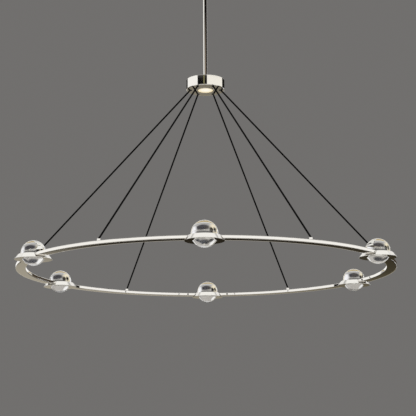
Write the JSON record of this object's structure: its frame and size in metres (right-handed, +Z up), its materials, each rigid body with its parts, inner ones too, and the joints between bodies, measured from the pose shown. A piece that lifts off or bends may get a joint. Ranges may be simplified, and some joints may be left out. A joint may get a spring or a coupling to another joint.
{
  "type": "ring chandelier",
  "caption": "Flat polished ring with clear crystal balls in round collars, hung by black cables from a small hub with a downlight, on a stem with a hang-straight swivel.",
  "frame": {"origin": "middle of the ceiling bracket's upper face, on the stem's axis", "axes": "+Z up to the ceiling, +X along the bracket's two bolt holes, +Y through two of the balls"},
  "size_m": [1.524, 1.625, 1.3202],
  "materials": {
    "polished_nickel": "warm polished nickel plate",
    "crystal": "clear polished",
    "black_cable": "fine black braid",
    "black_nylon": "matte",
    "clear_silicone": "translucent matte",
    "dark_steel": "blackened",
    "plated_steel": "zinc plated",
    "green_brass": "green lacquer",
    "driver_case": "fine texture",
    "opal_lens": "frosted, lit",
    "sink_aluminium": "satin",
    "board_white": "white solder mask",
    "chip_yellow": "phosphor",
    "wire_jacket": "smooth"
  },
  "bodies": {
    "ceiling_mount": {"ceiling_bracket": "plated_steel", "threaded_nipple": "plated_steel", "nipple_nut": "plated_steel", "ground_screw": "green_brass", "led_driver": "driver_case", "supply_terminal": "driver_case", "canopy_cover": "polished_nickel", "canopy_ring_nut": "polished_nickel", "swivel_fork": "polished_nickel"},
    "swivel_cross": {"swivel_block": "plated_steel", "upper_pins": "plated_steel", "lower_pins": "plated_steel"},
    "swivel_hanger": {"swivel_yoke": "polished_nickel"},
    "ring_assembly": {"swivel_nut": "polished_nickel", "stem_plug": "plated_steel", "stem_tube": "polished_nickel", "stem_wire": "wire_jacket", "hub_nut": "plated_steel", "hub_shell": "polished_nickel", "hub_bottom_plate": "polished_nickel", "hub_posts": "plated_steel", "hub_screws": "polished_nickel", "hub_terminal": "driver_case", "downlight_bezel": "polished_nickel", "downlight_lens": "opal_lens", "downlight_board": "board_white", "downlight_heatsink": "sink_aluminium", "light_chips": "chip_yellow", "cable_bushings": "black_nylon", "cable_stops": "plated_steel", "cable_ferrules": "polished_nickel", "ferrule_nuts": "plated_steel", "seat_gaskets": "clear_silicone", "joint_screws": "dark_steel", "collar_1": "polished_nickel", "collar_2": "polished_nickel", "collar_3": "polished_nickel", "collar_4": "polished_nickel", "collar_5": "polished_nickel", "collar_6": "polished_nickel", "ring_bar_1": "polished_nickel", "ring_bar_2": "polished_nickel", "ring_bar_3": "polished_nickel", "ring_bar_4": "polished_nickel", "ring_bar_5": "polished_nickel", "ring_bar_6": "polished_nickel", "cable_1": "black_cable", "cable_2": "black_cable", "cable_3": "black_cable", "cable_4": "black_cable", "cable_5": "black_cable", "cable_6": "black_cable"},
    "ball_1": {"orb_1": "crystal"},
    "ball_2": {"orb_2": "crystal"},
    "ball_3": {"orb_3": "crystal"},
    "ball_4": {"orb_4": "crystal"},
    "ball_5": {"orb_5": "crystal"},
    "ball_6": {"orb_6": "crystal"}
  },
  "joints": [
    {"name": "swing_x", "type": "hinge", "parent": "ceiling_mount", "child": "swivel_cross", "pos_m": [0, 0, -0.06621], "axis": [1, 0, 0], "range_deg": [-20, 20]},
    {"name": "swing_y", "type": "hinge", "parent": "swivel_cross", "child": "swivel_hanger", "pos_m": [0, 0, -0.06621], "axis": [0, 1, 0], "range_deg": [-20, 20]},
    {"name": "stem_turn", "type": "hinge", "parent": "swivel_hanger", "child": "ring_assembly", "pos_m": [0, 0, -0.09241], "axis": [0, 0, 1], "range_deg": [-170, 170]},
    {"name": "ball_lift_1", "type": "slide", "parent": "ring_assembly", "child": "ball_1", "axis": [0, 0, 1], "range_m": [0, 0.06]},
    {"name": "ball_lift_2", "type": "slide", "parent": "ring_assembly", "child": "ball_2", "axis": [0, 0, 1], "range_m": [0, 0.06]},
    {"name": "ball_lift_3", "type": "slide", "parent": "ring_assembly", "child": "ball_3", "axis": [0, 0, 1], "range_m": [0, 0.06]},
    {"name": "ball_lift_4", "type": "slide", "parent": "ring_assembly", "child": "ball_4", "axis": [0, 0, 1], "range_m": [0, 0.06]},
    {"name": "ball_lift_5", "type": "slide", "parent": "ring_assembly", "child": "ball_5", "axis": [0, 0, 1], "range_m": [0, 0.06]},
    {"name": "ball_lift_6", "type": "slide", "parent": "ring_assembly", "child": "ball_6", "axis": [0, 0, 1], "range_m": [0, 0.06]}
  ]
}
